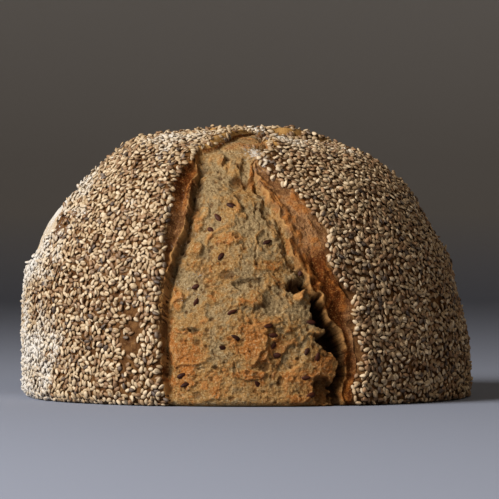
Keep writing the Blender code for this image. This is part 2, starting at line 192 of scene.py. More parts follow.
def pitsAt(points, size, salt, share):
    # Round pits of mixed sizes: 1 at a pit's middle, 0 outside all of them.
    scaled = points / size
    whole = np.floor(scaled).astype(np.int64)
    deepest = np.zeros(scaled.shape[:-1])
    for number in range(27):
        step = np.array([number % 3 - 1, number // 3 % 3 - 1, number // 9 - 1])
        x, y, z = np.moveaxis(whole + step, -1, 0)
        values = [latticeValue(x, y, z, salt + extra) for extra in range(4)]
        middle = np.stack([
            x + 0.5 + 0.4 * values[0], y + 0.5 + 0.4 * values[1], z + 0.5 + 0.4 * values[2],
        ], axis=-1)
        reach = 0.16 + 0.34 * (values[3] * 0.5 + 0.5) ** 2
        there = values[0] * values[1] * 4 % 1.0 < share
        distance = np.linalg.norm(scaled - middle, axis=-1) / reach
        deepest = np.maximum(deepest, np.where(there, np.clip(1.0 - distance * distance, 0.0, 1.0), 0.0))
    return deepest


def byDrop(pairs, drop):
    drops, distances = zip(*pairs)
    return np.interp(np.degrees(drop), drops, distances)


def mirrored(edge):
    return tuple((drop, -distance) for drop, distance in edge)


def domeAt(turn, drop):
    form = loafForm
    side = np.sin(turn)
    reach = (form["rightReach"] + form["leftReach"]) / 2 + (form["rightReach"] - form["leftReach"]) / 2 * side
    fullness = (form["rightFullness"] + form["leftFullness"]) / 2
    fullness = fullness + (form["rightFullness"] - form["leftFullness"]) / 2 * side
    across = (np.sin(drop) / reach) ** fullness
    along = (np.maximum(np.cos(drop), 0.0) / form["height"]) ** fullness
    length = (across + along) ** (-1.0 / fullness)
    for middle, down, wide, tall, rise in form["swellings"]:
        aside = np.degrees(np.abs(np.angle(np.exp(1j * (turn - math.radians(middle))))))
        length = length + rise * hill(aside / wide) * hill((np.degrees(drop) - down) / tall)
    radius = length * np.sin(drop)
    height = length * np.maximum(np.cos(drop), 0.0)
    foot = (form["rightFoot"] + form["leftFoot"]) / 2 + (form["rightFoot"] - form["leftFoot"]) / 2 * side
    under = np.clip(1.0 - height / foot, 0.0, 1.0)
    return radius - foot * (1.0 - np.sqrt(1.0 - under * under)), height


def cutAt(turn, drop, radius, facing, start, leftEdge, rightEdge):
    sideways = radius * np.sin(turn - facing)
    forwards = radius * np.cos(turn - facing)
    place = np.stack([sideways, forwards, drop * 0.1], axis=-1)
    wobble = cutForm["raggedness"]
    left = byDrop(leftEdge, drop) + wobble * (noiseAt(place, 0.009, 5) + noiseAt(place, 0.003, 6) / 2)
    right = byDrop(rightEdge, drop) + wobble * (noiseAt(place, 0.009, 7) + noiseAt(place, 0.003, 8) / 2)
    inside = np.minimum(np.minimum(sideways - left, right - sideways), forwards + start)
    share = (sideways - left) / np.maximum(right - left, 0.002)
    return inside, np.clip(share, 0.0, 1.0)


def cutsAt(turn, drop, radius):
    edges = (
        (cutForm["frontLeft"], cutForm["frontRight"]),
        (mirrored(cutForm["right"]), cutForm["right"]),
        (mirrored(cutForm["back"]), cutForm["back"]),
        (mirrored(cutForm["left"]), cutForm["left"]),
    )
    facings = [quarter * math.pi / 2 for quarter in range(4)]
    return [cutAt(turn, drop, radius, *one) for one in zip(facings, cutForm["starts"], *zip(*edges))]


def shingles(bare, size, slant, rise, salt):
    # Flakes that lie on each other: rising slowly to the right and down, then falling away at their edge.
    bend = noiseAt(bare, size * 1.3, salt) * 1.1 + noiseAt(bare, size * 0.45, salt + 1) * 0.40
    bend = bend + noiseAt(bare, size * 0.13, salt + 2) * 0.12
    along = (bare[..., 0] * slant - bare[..., 2] * rise + bare[..., 1] * 0.4) / size + bend
    share = along - np.floor(along)
    sparse = ramp((noiseAt(bare + 0.01, size * 1.2, salt + 3) + 0.15) / 0.5)
    return (share - ramp((share - 0.90) / 0.10)) * sparse, hill((share - 0.82) / 0.09) * sparse


def crumbRelief(bare):
    # Torn crumb: low swells, large and small flakes, tears, pores and grain.
    warp = np.stack([noiseAt(bare, 0.007, salt) for salt in (21, 22, 23)], axis=-1)
    torn = bare + 0.0020 * warp
    large, largeEdge = shingles(torn, 0.0150, 0.7, 0.8, 71)
    small, smallEdge = shingles(torn, 0.0056, 1.0, 0.5, 81)
    sparse = ramp((noiseAt(bare, 0.010, 37) + 0.05) / 0.3)
    tearLine = noiseAt(torn, 0.0085, 36) + 0.3 * noiseAt(bare, 0.0018, 38)
    tears = hill(tearLine / 0.05) * sparse
    tearEdge = hill((tearLine - 0.11) / 0.05) * sparse
    pores = ramp(pitsAt(torn, 0.0062, 27, 0.30) * 2.2)
    smallPores = ramp(pitsAt(bare + 0.0010 * warp, 0.0027, 33, 0.30) * 2.0)
    grain = noiseAt(bare, 0.0012, 29)
    relief = 0.0009 * noiseAt(bare, 0.018, 28) + 0.0014 * large + 0.00032 * small - 0.0005 * tears
    relief = relief - 0.0007 * pores - 0.0005 * smallPores + 0.00022 * noiseAt(torn, 0.0030, 30)
    relief = relief + 0.00022 * grain + 0.00030 * noiseAt(bare, 0.0008, 34) + 0.0003 * tearEdge
    browning = 1.0 * (large - 0.35) + 0.55 * largeEdge + 0.4 * (small - 0.3) + 0.4 * smallEdge - 0.4 * pores
    browning = browning + 0.85 * noiseAt(bare, 0.014, 31) + 0.40 * noiseAt(bare, 0.005, 39) + 0.9 * tearEdge
    # The edges later take a painted highlight in the lip colour.
    edges = np.clip(largeEdge + 0.6 * smallEdge, 0.0, 1.0)
    # The last value is painted shade in tears and pores.
    return relief, browning, edges, np.clip(0.6 * tears + 0.7 * pores + 0.8 * smallPores, 0.0, 1.0)


def frontProfile(share, drop):
    # The front cut's measures at each place, its left side's on the left and its right side's on the right.
    rightSide = ramp((share - 0.42) / 0.16)
    left = {name: byDrop(burstForm["left" + name], drop) for name in ("Band", "Lip", "Crevice", "Inner")}
    right = {name: byDrop(burstForm["right" + name], drop) for name in left}
    return rightSide, [left[name] + (right[name] - left[name]) * rightSide for name in left]


def loafSurface(turn, drop):
    # The surface at each place, with what its finish needs: browning, bands, lips, and painted shade in dark
    # and deep places.
    form = burstForm
    radius, height = domeAt(turn, drop)
    bare = np.stack([radius * np.sin(turn), -radius * np.cos(turn), height], axis=-1)
    arms = cutsAt(turn, drop, radius)
    inside = np.max([one[0] for one in arms], axis=0)
    weights = np.array([np.exp(np.clip(one[0] / 0.002, -40, 40)) for one in arms])
    weights = weights / weights.sum(axis=0)
    dropDegrees = np.degrees(drop)

    def mixed(*values):
        return sum(weight * value for weight, value in zip(weights, values))

    rightSide, (frontBand, frontLip, frontCrevice, frontInner) = frontProfile(arms[0][1], drop)
    band = np.maximum(mixed(frontBand, *form["otherBands"]), 0.001)
    wobble = 0.20 * noiseAt(bare, 0.0048, 41) + 0.15 * noiseAt(bare, 0.0019, 42)
    band = band + np.minimum(band, 0.0065) * wobble + 0.0004 * noiseAt(bare, 0.0011, 43)
    lipDepth = mixed(frontLip, *form["otherLips"])
    crevice = mixed(frontCrevice, *form["otherCrevices"])
    inner = mixed(frontInner, *[form["otherInner"]] * 3)
    inner = inner * (1.0 + 0.25 * noiseAt(bare, 0.0036, 44) + 0.12 * noiseAt(bare, 0.0014, 45))
    crumb = mixed(byDrop(form["crumb"], drop), *form["otherCrumbs"])
    onRight = rightSide * weights[0]

    past = inside - band
    torn = mixed(ramp((dropDegrees - 24) / 8), 0.6, 1.0, 0.1)
    fall = form["fallWidth"] + onRight * np.maximum(inner * 0.8 - form["fallWidth"], 0.0)
    riseFrom = 0.0014 + onRight * (inner * 0.9 - 0.0014)
    riseWidth = inner + onRight * (form["riseWidth"] - inner)
    step = form["edgeStep"]
    depth = step * ramp(inside / 0.0010) + (lipDepth - step) * ramp(inside / (band * 0.75))
    leftSide = weights[0] * (1.0 - rightSide)
    hollow = 0.0014 * hill((inside - band * 0.40) / (band * 0.32)) * leftSide
    depth = depth + hollow * ramp((band - 0.002) / 0.003)
    depth = depth - form["lipRise"] * hill(past / 0.0009) * torn
    depth = depth + (crevice - lipDepth) * ramp(past / fall)
    depth = depth - (crevice - crumb) * ramp((past - riseFrom) / np.maximum(riseWidth, 0.001))

    cavity = onRight * ramp((dropDegrees - form["cavityFrom"]) / 3.0)
    cavity = cavity * (1.0 - 0.7 * ramp((dropDegrees - form["cavityTo"]) / 4.0))
    cavity = cavity * ramp((past - 0.0002) / 0.0012) * ramp((inner + 0.0006 - past) / 0.0013)
    depth = depth + form["cavityDepth"] * cavity
    foot = ramp(height / 0.006)
    depth = depth * (0.35 + 0.65 * foot)

    topEdge = ramp((30 - dropDegrees) / 4)
    lip = hill((inside + 0.002) / 0.0022) + ramp((inside + 0.009) / 0.0045) / 2
    rise = (0.0006 + 0.0003 * topEdge) * lip * ramp(-inside / 0.001) * foot
    depth = depth - rise * ramp((radius - 0.008) / 0.012)
    halfTurn = np.sin((turn - math.pi / 2) / 2)
    ledge = hill((dropDegrees - form["ledgeDrop"]) / form["ledgeWidth"])
    ledge = ledge * hill(halfTurn / form["ledgeHalfTurn"])
    depth = depth - form["ledgeReach"] * ledge

    lump = loafForm["lumpHeight"] * noiseAt(bare, loafForm["lumpSize"], 1) * ramp(height / 0.02)
    inCrumb = ramp((past - riseFrom * 0.5) / 0.0016) * mixed(1.0, 0.9, 1.0, 0.12)
    relief, browning, curl, dark = crumbRelief(bare)
    ragged = 0.28 * noiseAt(bare, 0.0030, 51) + 0.16 * noiseAt(bare, 0.0012, 55)
    for right, up, wide, tall, out, brown in frontMarks:
        aside, over = (bare[..., 0] - right) / wide, (bare[..., 2] - up) / tall
        here = ramp((1.25 - np.hypot(aside, over) - ragged) / 0.35) * (bare[..., 1] < 0)
        lean = np.clip(0.70 + 0.35 * (aside - over), 0.2, 1.4) if out > 0 else 1.0
        relief = relief + out * here * lean
        browning = browning + brown * here
        # Strongly browned marks take the painted highlight of the lip colour.
        curl = np.maximum(curl, here * (brown > 1.3))
        # Deep marks get painted shade.
        dark = np.maximum(dark, 0.8 * here * (out < -0.004))
    ledgeLine = 0.1000 - 0.04 * bare[..., 0] + 0.0008 * noiseAt(bare, 0.004, 52)
    above = bare[..., 2] - ledgeLine
    near = ramp((0.0085 - np.abs(bare[..., 0] + 0.0002)) / 0.003) * hill(above / 0.0060) * (bare[..., 1] < 0)
    relief = relief + near * 0.0016 * np.tanh(above / 0.0005)
    # Painted shadow under the ledge.
    dark = np.maximum(dark, near * ramp((0.0003 - above) / 0.0006) * hill(above / 0.0022))
    browning = browning + 0.45 * ramp((0.050 - height) / 0.03) - 0.22 * ramp((height - 0.07) / 0.03)
    curl = curl * inCrumb
    depth = depth - relief * inCrumb * (0.45 + 0.55 * foot) * (1.0 - 0.5 * topEdge)
    wander = inside + 0.0012 * noiseAt(bare, 0.006, 56)
    grooves = np.stack([wander, bare[..., 2] * 0.22, bare[..., 1] * 0.1], axis=-1)
    streaks = noiseAt(grooves, 0.0019, 53)
    threads = noiseAt(grooves, 0.0009, 58)
    flakes = noiseAt(bare + 0.001 * noiseAt(bare, 0.003, 57)[..., None], 0.0030, 54)
    ridge = hill((past + 0.0020) / 0.0017) * onRight
    ridge = ridge * ramp((dropDegrees - 33) / 5) * ramp((64 - dropDegrees) / 5)
    ridge = ridge * ramp((noiseAt(bare, 0.0042, 68) + 0.55) / 0.5)
    # Behind the ridge: a shallow groove, which the band's browning also darkens as painted shadow of the
    # ridge.
    behind = hill((past + 0.0056) / 0.0012) * onRight * ramp((noiseAt(bare, 0.0050, 69) - 0.05) / 0.3)
    bandRelief = 0.00022 * streaks + 0.00020 * threads + 0.00030 * flakes
    bandRelief = bandRelief + 0.0018 * ridge * (0.7 + 0.7 * flakes) - 0.0010 * behind
    scales = ramp((streaks + 0.6 * flakes) / 0.07) * ramp((noiseAt(bare, 0.008, 59) + 0.2) / 0.2)
    bandRelief = bandRelief + 0.00040 * scales
    depth = depth - bandRelief * ramp(inside / 0.001) * (1.0 - inCrumb)
    # The band's browning is painted darker behind the ridge and on the left band: painted shade.
    bandBrowningAndShade = 0.8 * streaks + 0.7 * threads + 0.6 * flakes + 1.1 * ridge - 1.3 * behind - 0.5 * leftSide
    browning = browning * inCrumb + (1.0 - inCrumb) * bandBrowningAndShade
    bandPaleness = 1.0 - 0.6 * ridge
    brokenLip = noiseAt(bare, 0.0040, 46) + 0.3 * noiseAt(bare, 0.0014, 47)
    brokenLip = ramp(inside / 0.001) * ramp((brokenLip + 0.55) / 0.9)
    # Painted highlight along the ridge's threads.
    curl = curl + 0.9 * ridge * ramp((threads + 0.3 * streaks + 0.1) / 0.4) * (1.0 - inCrumb)
    flapShare = ramp(bare[..., 1] / form["flapSlope"])
    fromFlap = np.hypot(bare[..., 0] - form["flapPlace"], bare[..., 1])
    flap = form["flapRise"] * flapShare * ramp((form["flapRadius"] - fromFlap) / 0.012)
    flap = flap * ramp(-inside / 0.001)
    # Painted shadow where the far cuts are seen over the near crust at the top.
    paintedGapShadow = hill((bare[..., 0] - 0.0090) / 0.0034) + hill((bare[..., 0] - 0.0295) / 0.0080)
    paintedGapShadow = paintedGapShadow * ramp((inside + 0.0034) / 0.0008) * ramp((bare[..., 1] + 0.001) / 0.001)
    paintedGapShadow = paintedGapShadow * ramp((0.048 - radius) / 0.01)
    outward = np.stack([np.sin(drop) * np.sin(turn), -np.sin(drop) * np.cos(turn), np.cos(drop)], axis=-1)
    outward[..., 2] *= ramp(height / 0.012)
    points = bare + outward * (lump - depth)[..., None]
    across = ramp((bare[..., 0] - 0.003) / 0.006)
    dip = form["nearDipLeft"] + (form["nearDip"] - form["nearDipLeft"]) * across
    dip = dip * ramp(-bare[..., 1] / 0.0035) * ramp((0.054 - radius) / 0.030)
    points[..., 2] = np.maximum(points[..., 2] + flap - dip, 0.0)
    onBand = ramp(inside / 0.0006) * (1.0 - ramp((past - 0.0002) / 0.0010))
    # Painted shadow in the strip beside the left lip, where the lip's shadow falls.
    shaded = leftSide * hill((past - 0.0026) / 0.0023)
    shaded = shaded * ramp((dropDegrees - 28) / 5) * ramp((64 - dropDegrees) / 8)
    bandTone = onRight * (1.0 - ramp((dropDegrees - 50) / 6)) + leftSide * 0.8 * hill((dropDegrees - 49) / 7)
    bandTone = bandTone + onRight * 0.9 * hill((dropDegrees - 72) / 8) * hill((inside - 0.0018) / 0.0018)
    # Painted shade: deep places and the cavity are darkened, and the strip beside the left lip with them.
    paintedDeepShade = np.maximum(ramp((depth - 0.0068) / 0.0040), ramp(cavity / 0.25) * ramp((past - 0.0006) / 0.0005))
    paintedDeepShade = np.maximum(paintedDeepShade, 0.85 * shaded * ramp((past - 0.0004) / 0.0006))
    return {
        "points": points, "inside": inside, "outward": outward,
        "browning": np.clip(0.5 + 0.5 * browning, 0.0, 1.0), "band": onBand * mixed(1.0, 1.0, 1.0, 0.4),
        # The lip layer: the torn edge's own paler colour, and painted highlight on curled edges and the
        # ridge.
        "lip": np.maximum(hill(past / (0.0007 + 0.0005 * leftSide)) * torn * brokenLip, 0.5 * curl),
        "dark": dark * inCrumb, "paintedDeepShade": paintedDeepShade * ramp(inside / 0.001),
        "bandTone": bandTone * bandPaleness, "leftBurst": weights[3] * ramp(inside / 0.0015),
        "top": ramp((34 - dropDegrees) / 9) * weights[0] * inCrumb,
        "rim": topEdge * ramp((inside + 0.0045) / 0.001) * (1.0 - ramp(inside / 0.0015)), "paintedGapShadow": paintedGapShadow,
    }


def deselectAll():
    if bpy.context.mode != "OBJECT":
        bpy.ops.object.mode_set(mode="OBJECT")
    bpy.ops.object.select_all(action="DESELECT")


def added(name):
    thing = bpy.context.active_object
    thing.name = name
    thing.data.name = name
    return thing


def coordinatesOf(thing):
    places = np.empty(len(thing.data.vertices) * 3)
    thing.data.vertices.foreach_get("co", places)
    return places.reshape(-1, 3)


def setAttribute(thing, name, values):
    layer = thing.data.attributes.new(name, "FLOAT", "POINT")
    layer.data.foreach_set("value", np.asarray(values, np.float32).ravel())


def shadeSmooth(thing):
    thing.data.polygons.foreach_set("use_smooth", np.ones(len(thing.data.polygons), bool))
    thing.data.update()


finishLayers = ("browning", "band", "lip", "dark", "paintedDeepShade", "bandTone", "leftBurst", "rim", "paintedGapShadow", "top")

# Where flour lies: to the right, back, up, reach, strength.
flourPlaces = (
    (-0.100, -0.010, 0.012, 0.036, 1.0), (-0.088, -0.040, 0.020, 0.026, 0.75),
    (-0.096, -0.020, 0.056, 0.036, 1.0), (-0.080, -0.010, 0.085, 0.030, 0.9),
    (-0.030, -0.030, 0.119, 0.026, 0.55), (0.018, -0.032, 0.116, 0.014, 0.9),
    (0.0035, -0.054, 0.1105, 0.0066, 1.2), (0.0075, -0.061, 0.1040, 0.0060, 0.7),
    (0.004, 0.006, 0.121, 0.006, 0.7), (0.036, -0.020, 0.114, 0.018, 0.5),
    (0.070, -0.030, 0.085, 0.018, 0.3), (-0.060, -0.060, 0.070, 0.050, 0.30),
    (-0.060, 0.050, 0.090, 0.040, 0.4), (0.080, 0.060, 0.030, 0.040, 0.5),
    (-0.0245, -0.090, 0.052, 0.010, 0.35),
)


def flourAt(points):
    flour = np.zeros(len(points))
    for right, back, up, reach, strength in flourPlaces:
        distance = np.linalg.norm(points - np.array([right, back, up]), axis=-1)
        flour = np.maximum(flour, strength * hill(distance / reach))
    patchy = 0.75 + 0.5 * noiseAt(points, 0.012, 61)
    return np.clip(flour * patchy + 0.16 * noiseAt(points, 0.004, 62) * ramp(flour / 0.2), 0, 1)


# The whole outside of the loaf, lowered inside the cuts, where the torn pieces cover it.
crustForm = {"segments": 400, "rings": 236, "domeShare": 0.70, "lowered": 0.0045}


def makeCrust():
    deselectAll()
    form = crustForm
    bpy.ops.mesh.primitive_uv_sphere_add(segments=form["segments"], ring_count=form["rings"], radius=1.0)
    crust = added("crust")
    x, y, z = coordinatesOf(crust).T
    turn = np.arctan2(x, -y)
    ring = np.arccos(np.clip(z, -1.0, 1.0)) / math.pi
    onDome = ring <= form["domeShare"]
    drop = np.minimum(ring / form["domeShare"], 1.0) * math.pi / 2
    made = loafSurface(turn, drop)
    lowered = form["lowered"] * ramp((made["inside"] - 0.0012) / 0.0035) * ramp(made["points"][:, 2] / 0.003)
    points = made["points"] - made["outward"] * lowered[:, None]
    points[:, :2] *= np.where(onDome, 1.0, (1.0 - ring) / (1.0 - form["domeShare"]))[:, None]
    points[~onDome, 2] = 0.0
    crust.data.vertices.foreach_set("co", points.ravel())
    for name in finishLayers:
        setAttribute(crust, name, made[name])
    setAttribute(crust, "flour", flourAt(points))
    shadeSmooth(crust)
    return crust, made["inside"]


# The torn pieces: which cut, rows down it, columns across it, where it starts beside the top, how far past
# the cut's edges it reaches.
burstPieces = {
    "burstFront": {"cut": 0, "rows": 430, "columns": 200, "start": -5.0, "end": 90.0, "past": 0.0026},
    "burstBack": {"cut": 2, "rows": 330, "columns": 120, "start": 6.0, "end": 90.0, "past": 0.0026},
    "burstLeft": {"cut": 3, "rows": 180, "columns": 110, "start": 4.0, "end": 62.0, "past": 0.0026},
    "burstRight": {"cut": 1, "rows": 200, "columns": 90, "start": 4.0, "end": 56.0, "past": 0.0026},
}


def makeBurst(name):
    form = burstPieces[name]
    deselectAll()
    bpy.ops.mesh.primitive_grid_add(x_subdivisions=form["columns"], y_subdivisions=form["rows"], size=1.0)
    burst = added(name)
    across, down, _ = (coordinatesOf(burst) + 0.5).T
    fall = np.radians(form["start"] + (form["end"] - form["start"]) * down)
    edges = (
        (cutForm["frontLeft"], cutForm["frontRight"]), (mirrored(cutForm["right"]), cutForm["right"]),
        (mirrored(cutForm["back"]), cutForm["back"]), (mirrored(cutForm["left"]), cutForm["left"]),
    )[form["cut"]]
    left, right = (byDrop(edge, np.abs(fall)) for edge in edges)
    narrow = 0.003
    left = np.minimum(left, -narrow) - form["past"]
    right = np.maximum(right, narrow) + form["past"]
    length = 0.110
    lean = np.arcsin((left + (right - left) * across) / length)
    forward = np.cos(lean) * np.sin(fall)
    up = np.cos(lean) * np.cos(fall)
    turn = np.arctan2(np.sin(lean), forward) + form["cut"] * math.pi / 2
    drop = np.arccos(np.clip(up, 0.0, 1.0))
    made = loafSurface(turn, drop)
    dipped = 0.0009 * ramp(-made["inside"] / 0.0016)
    points = made["points"] - made["outward"] * dipped[:, None]
    burst.data.vertices.foreach_set("co", points.ravel())
    for layer in finishLayers:
        setAttribute(burst, layer, made[layer])
    setAttribute(burst, "flour", flourAt(points))
    closeBehind(burst)
    shadeSmooth(burst)
    return burst


def closeBehind(piece):
    # The border is drawn in towards the loaf's middle and gathered to one point.
    inwards = Vector((0.0, 0.0, 0.035))
    deselectAll()
    piece.select_set(True)
    bpy.context.view_layer.objects.active = piece
    bpy.ops.object.mode_set(mode="EDIT")
    bpy.ops.mesh.select_mode(type="EDGE")
    bpy.ops.mesh.select_all(action="DESELECT")
    bpy.ops.mesh.select_non_manifold()
    bpy.ops.mesh.extrude_edges_move()
    bpy.ops.transform.resize(value=(0.90, 0.90, 0.90), center_override=inwards)
    bpy.ops.mesh.extrude_edges_move()
    bpy.ops.mesh.merge(type="CENTER")
    bpy.ops.mesh.select_all(action="SELECT")
    bpy.ops.mesh.normals_make_consistent(inside=False)
    bpy.ops.object.mode_set(mode="OBJECT")


print("modelling the crust")
crust, crustInside = makeCrust()
print("modelling the bursts")
bursts = [makeBurst(name) for name in burstPieces]

# Seeds, at true size. Each kind is modelled once and copied to its places.
sesameForm = {
    "length": 0.0030, "width": 0.0021, "thickness": 0.00110, "point": 0.55,
    "spacing": 0.00190, "topSpacing": 0.0028, "candidates": 100000, "clear": -0.0005,
    "kinds": (("sesamePale", 0.39), ("sesameTan", 0.32), ("sesameToasted", 0.24), ("sesameDark", 0.05)),
    "flouredLimit": 3600,
    "seed": 11,
}
# Places where the crust shows bare between the seeds: to the right, up, half width, half height.
barePatches = (
    (0.0072, 0.1045, 0.0056, 0.0042), (-0.0505, 0.0290, 0.0048, 0.0165), (0.0830, 0.0420, 0.0055, 0.0040),
    (-0.0830, 0.0780, 0.0050, 0.0070),
)


def modelSeed(name, length, width, thickness, point, segments, rings):
    deselectAll()
    bpy.ops.mesh.primitive_uv_sphere_add(
        segments=segments, ring_count=rings, radius=0.5, rotation=(0, math.pi / 2, 0),
    )
    seed = added(name)
    bpy.ops.object.transform_apply(location=False, rotation=True, scale=False)
    places = coordinatesOf(seed)
    slim = 1.0 - point * np.clip(places[:, 0] + 0.1, 0.0, 1.0)
    places[:, 1] *= slim
    places[:, 2] *= 0.5 + 0.5 * slim
    places *= np.array([length, width, thickness])
    faces = [tuple(face.vertices) for face in seed.data.polygons]
    bpy.data.objects.remove(seed)
    return places, faces


def samplePlaces(surface, surfaceInside, count, chance):
    # Places spread over the seeded crust, area by area, with the normal there.
    mesh = surface.data
    mesh.calc_loop_triangles()
    corners = np.empty(len(mesh.loop_triangles) * 3, np.int32)
    mesh.loop_triangles.foreach_get("vertices", corners)
    corners = corners.reshape(-1, 3)
    # Blender's order of faces changes from run to run, so the triangles are put in order here.
    lowest = corners.argmin(axis=1)[:, None]
    corners = np.take_along_axis(corners, (lowest + np.arange(3)) % 3, axis=1)
    corners = corners[np.lexsort(corners.T[::-1])]
    points = coordinatesOf(surface)
    first, second, third = points[corners].transpose(1, 0, 2)
    facing = np.cross(second - first, third - first)
    normals = np.zeros_like(points)
    for corner in corners.T:
        np.add.at(normals, corner, facing)
    normals /= np.maximum(np.linalg.norm(normals, axis=-1)[:, None], 1e-12)
    seeded = (surfaceInside[corners].max(axis=1) < 0.001) & (points[corners][:, :, 2].max(axis=1) > 0.0004)
    corners = corners[seeded]
    area = np.linalg.norm(facing[seeded], axis=-1)
    chosen = np.searchsorted(np.cumsum(area) / area.sum(), chance.random(count))
    a, b = chance.random((2, count))
    flip = a + b > 1
    a, b = np.where(flip, 1 - a, a), np.where(flip, 1 - b, b)
    shares = np.stack([1 - a - b, a, b], axis=-1)[..., None]
    spots = (points[corners[chosen]] * shares).sum(axis=1)
    leanings = (normals[corners[chosen]] * shares).sum(axis=1)
    inside = (surfaceInside[corners[chosen]] * shares[..., 0]).sum(axis=1)
    return spots, leanings / np.linalg.norm(leanings, axis=-1)[:, None], inside


def spreadOut(points, spacing):
    # Keeps places in turn, dropping those nearer than the spacing to one that is kept.
    tree = KDTree(len(points))
    for number, point in enumerate(points):
        tree.insert(point, number)
    tree.balance()
    free = np.ones(len(points), bool)
    kept = []
    for number, point in enumerate(points):
        if free[number]:
            kept.append(number)
            for _, near, _ in tree.find_range(point, spacing[number]):
                free[near] = False
    return np.array(kept)


def nearestTo(points):
    tree = KDTree(len(points))
    for number, point in enumerate(points):
        tree.insert(point, number)
    tree.balance()
    return points[[tree.find_n(point, 2)[1][1] for point in points]]


def seedMatrices(spots, normals, lift, tilt, spread, chance):
    # One matrix for each seed: laid beside its nearest seed, spun and tipped a little, with its own size.
    count = len(spots)
    helper = np.where(np.abs(normals[:, 2:]) < 0.9, np.array([[0, 0, 1.0]]), np.array([[1.0, 0, 0]]))
    along = np.cross(helper, normals)
    along /= np.linalg.norm(along, axis=-1)[:, None]
    aside = np.cross(normals, along)
    towards = nearestTo(spots) - spots
    facing = np.arctan2((towards * aside).sum(axis=-1), (towards * along).sum(axis=-1))
    spin = facing + math.pi / 2 + chance.normal(0, 0.45, count) + math.pi * chance.integers(0, 2, count)
    long = along * np.cos(spin)[:, None] + aside * np.sin(spin)[:, None]
    pitch = chance.normal(0, tilt, count)[:, None]
    long = long * np.cos(pitch) + normals * np.sin(pitch)
    up = normals - (normals * long).sum(axis=-1)[:, None] * long
    up /= np.linalg.norm(up, axis=-1)[:, None]
    cross = np.cross(up, long)
    roll = chance.normal(0, tilt, count)[:, None]
    wide = cross * np.cos(roll) + up * np.sin(roll)
    flat = np.cross(long, wide)
    sizes = 1.0 + spread * chance.normal(0, 1, (3, count, 1)).clip(-2, 2)
    turns = np.stack([long * sizes[0], wide * sizes[1], flat * sizes[2]], axis=-1)
    return turns, spots + normals * lift[:, None]


def joinSeeds(name, model, turns, spots, layers):
    places, faces = model
    points = np.einsum("kij,vj->kvi", turns, places) + spots[:, None, :]
    starts = (np.arange(len(spots)) * len(places))[:, None]
    polygons = []
    for face in faces:
        polygons.extend((starts + np.array(face)).tolist())
    mesh = bpy.data.meshes.new(name)
    mesh.from_pydata(points.reshape(-1, 3), [], polygons)
    thing = bpy.data.objects.new(name, mesh)
    bpy.context.scene.collection.objects.link(thing)
    for layer, values in layers.items():
        setAttribute(thing, layer, np.repeat(values, len(places)))
    shadeSmooth(thing)
    return thing


def makeSesame():
    form = sesameForm
    chance = np.random.default_rng(form["seed"])
    spots, normals, inside = samplePlaces(crust, crustInside, form["candidates"], chance)
    edge = form["clear"] + 0.0007 * noiseAt(spots, 0.005, 63)
    wanted = inside < -edge
    reach = np.hypot(spots[:, 0], spots[:, 1])
    topRim = (reach < 0.47 * spots[:, 2]) & (inside > -0.0036 - 0.0012 * noiseAt(spots, 0.006, 66))
    topRim &= (spots[:, 1] > 0) | (spots[:, 0] < 0.004)
    wanted &= ~topRim | (chance.random(len(spots)) < 0.08)
    for right, up, wide, tall in barePatches:
        distance = np.hypot((spots[:, 0] - right) / wide, (spots[:, 2] - up) / tall)
        distance = distance + 0.35 * noiseAt(spots, 0.005, 64)
        wanted &= (distance > 1.0) | (spots[:, 1] > 0) | (chance.random(len(spots)) < 0.08)
    spots, normals = spots[wanted], normals[wanted]
    spacing = form["spacing"] * (1.0 + 0.12 * noiseAt(spots, 0.02, 65))
    lower = spreadOut(spots, spacing)
    free = np.setdiff1d(np.arange(len(spots)), lower)
    upper = free[spreadOut(spots[free], np.full(len(free), form["topSpacing"]))]
    chosen = np.concatenate([lower, upper])
    thickness = form["thickness"]
    lift = np.concatenate([
        thickness * chance.uniform(0.15, 0.50, len(lower)),
        thickness * chance.uniform(0.75, 1.10, len(upper)),
    ])
    tilt = np.concatenate([np.full(len(lower), 0.22), np.full(len(upper), 0.36)])
    turns, places = seedMatrices(spots[chosen], normals[chosen], lift, tilt, 0.09, chance)
    halves = np.array([form["length"], form["width"], thickness]) / 2
    reachDown = np.sqrt((turns[:, 2] ** 2 * halves ** 2).sum(axis=-1))
    places[:, 2] = np.maximum(places[:, 2], reachDown + 0.0001)
    flour = flourAt(places)
    tone = chance.random(len(places))
    # Seeds further right are drawn more often from the darker kinds: painted shade on the side away from the
    # key light.
    draw = chance.random(len(places)) ** (1.0 - 0.28 * ramp(places[:, 0] / 0.06))
    floured = np.flatnonzero(flour > 0.34)[: form["flouredLimit"]]
    model = modelSeed("seedModel", form["length"], form["width"], thickness, form["point"], 6, 5)
    made = []
    left = np.ones(len(places), bool)
    left[floured] = False
    groups = {"sesameFloured": floured}
    start = 0.0
    for name, share in form["kinds"]:
        groups[name] = np.flatnonzero(left & (draw >= start) & (draw < start + share))
        start += share
    for name, group in groups.items():
        layers = {"tone": tone[group], "flour": flour[group]}
        made.append(joinSeeds(name, model, turns[group], places[group], layers))
        print(name, len(group), "seeds")
    return made


# Flax seeds in the torn crumb of the front: to the right and up, then how many more are strewn elsewhere.
flaxForm = {
    "length": 0.0042, "width": 0.0023, "thickness": 0.0012, "point": 0.6,
    "places": (
        (-0.0073, 0.0880), (-0.0130, 0.0830), (-0.0160, 0.0775), (0.0090, 0.0730), (-0.0115, 0.0660),
        (-0.0230, 0.0530), (-0.0225, 0.0460), (-0.0065, 0.0412), (-0.0052, 0.0303), (-0.0105, 0.0255),
        (0.0090, 0.0347), (0.0112, 0.0310), (0.0114, 0.0266), (0.0126, 0.0225), (0.0280, 0.0370),
        (0.0260, 0.0240), (0.0305, 0.0215), (0.0250, 0.0126), (0.0272, 0.0050), (-0.0282, 0.0135),
        (-0.0268, 0.0095), (0.0045, 0.0100), (0.0240, 0.0600),
    ),
    "strewn": 26, "seed": 5,
}


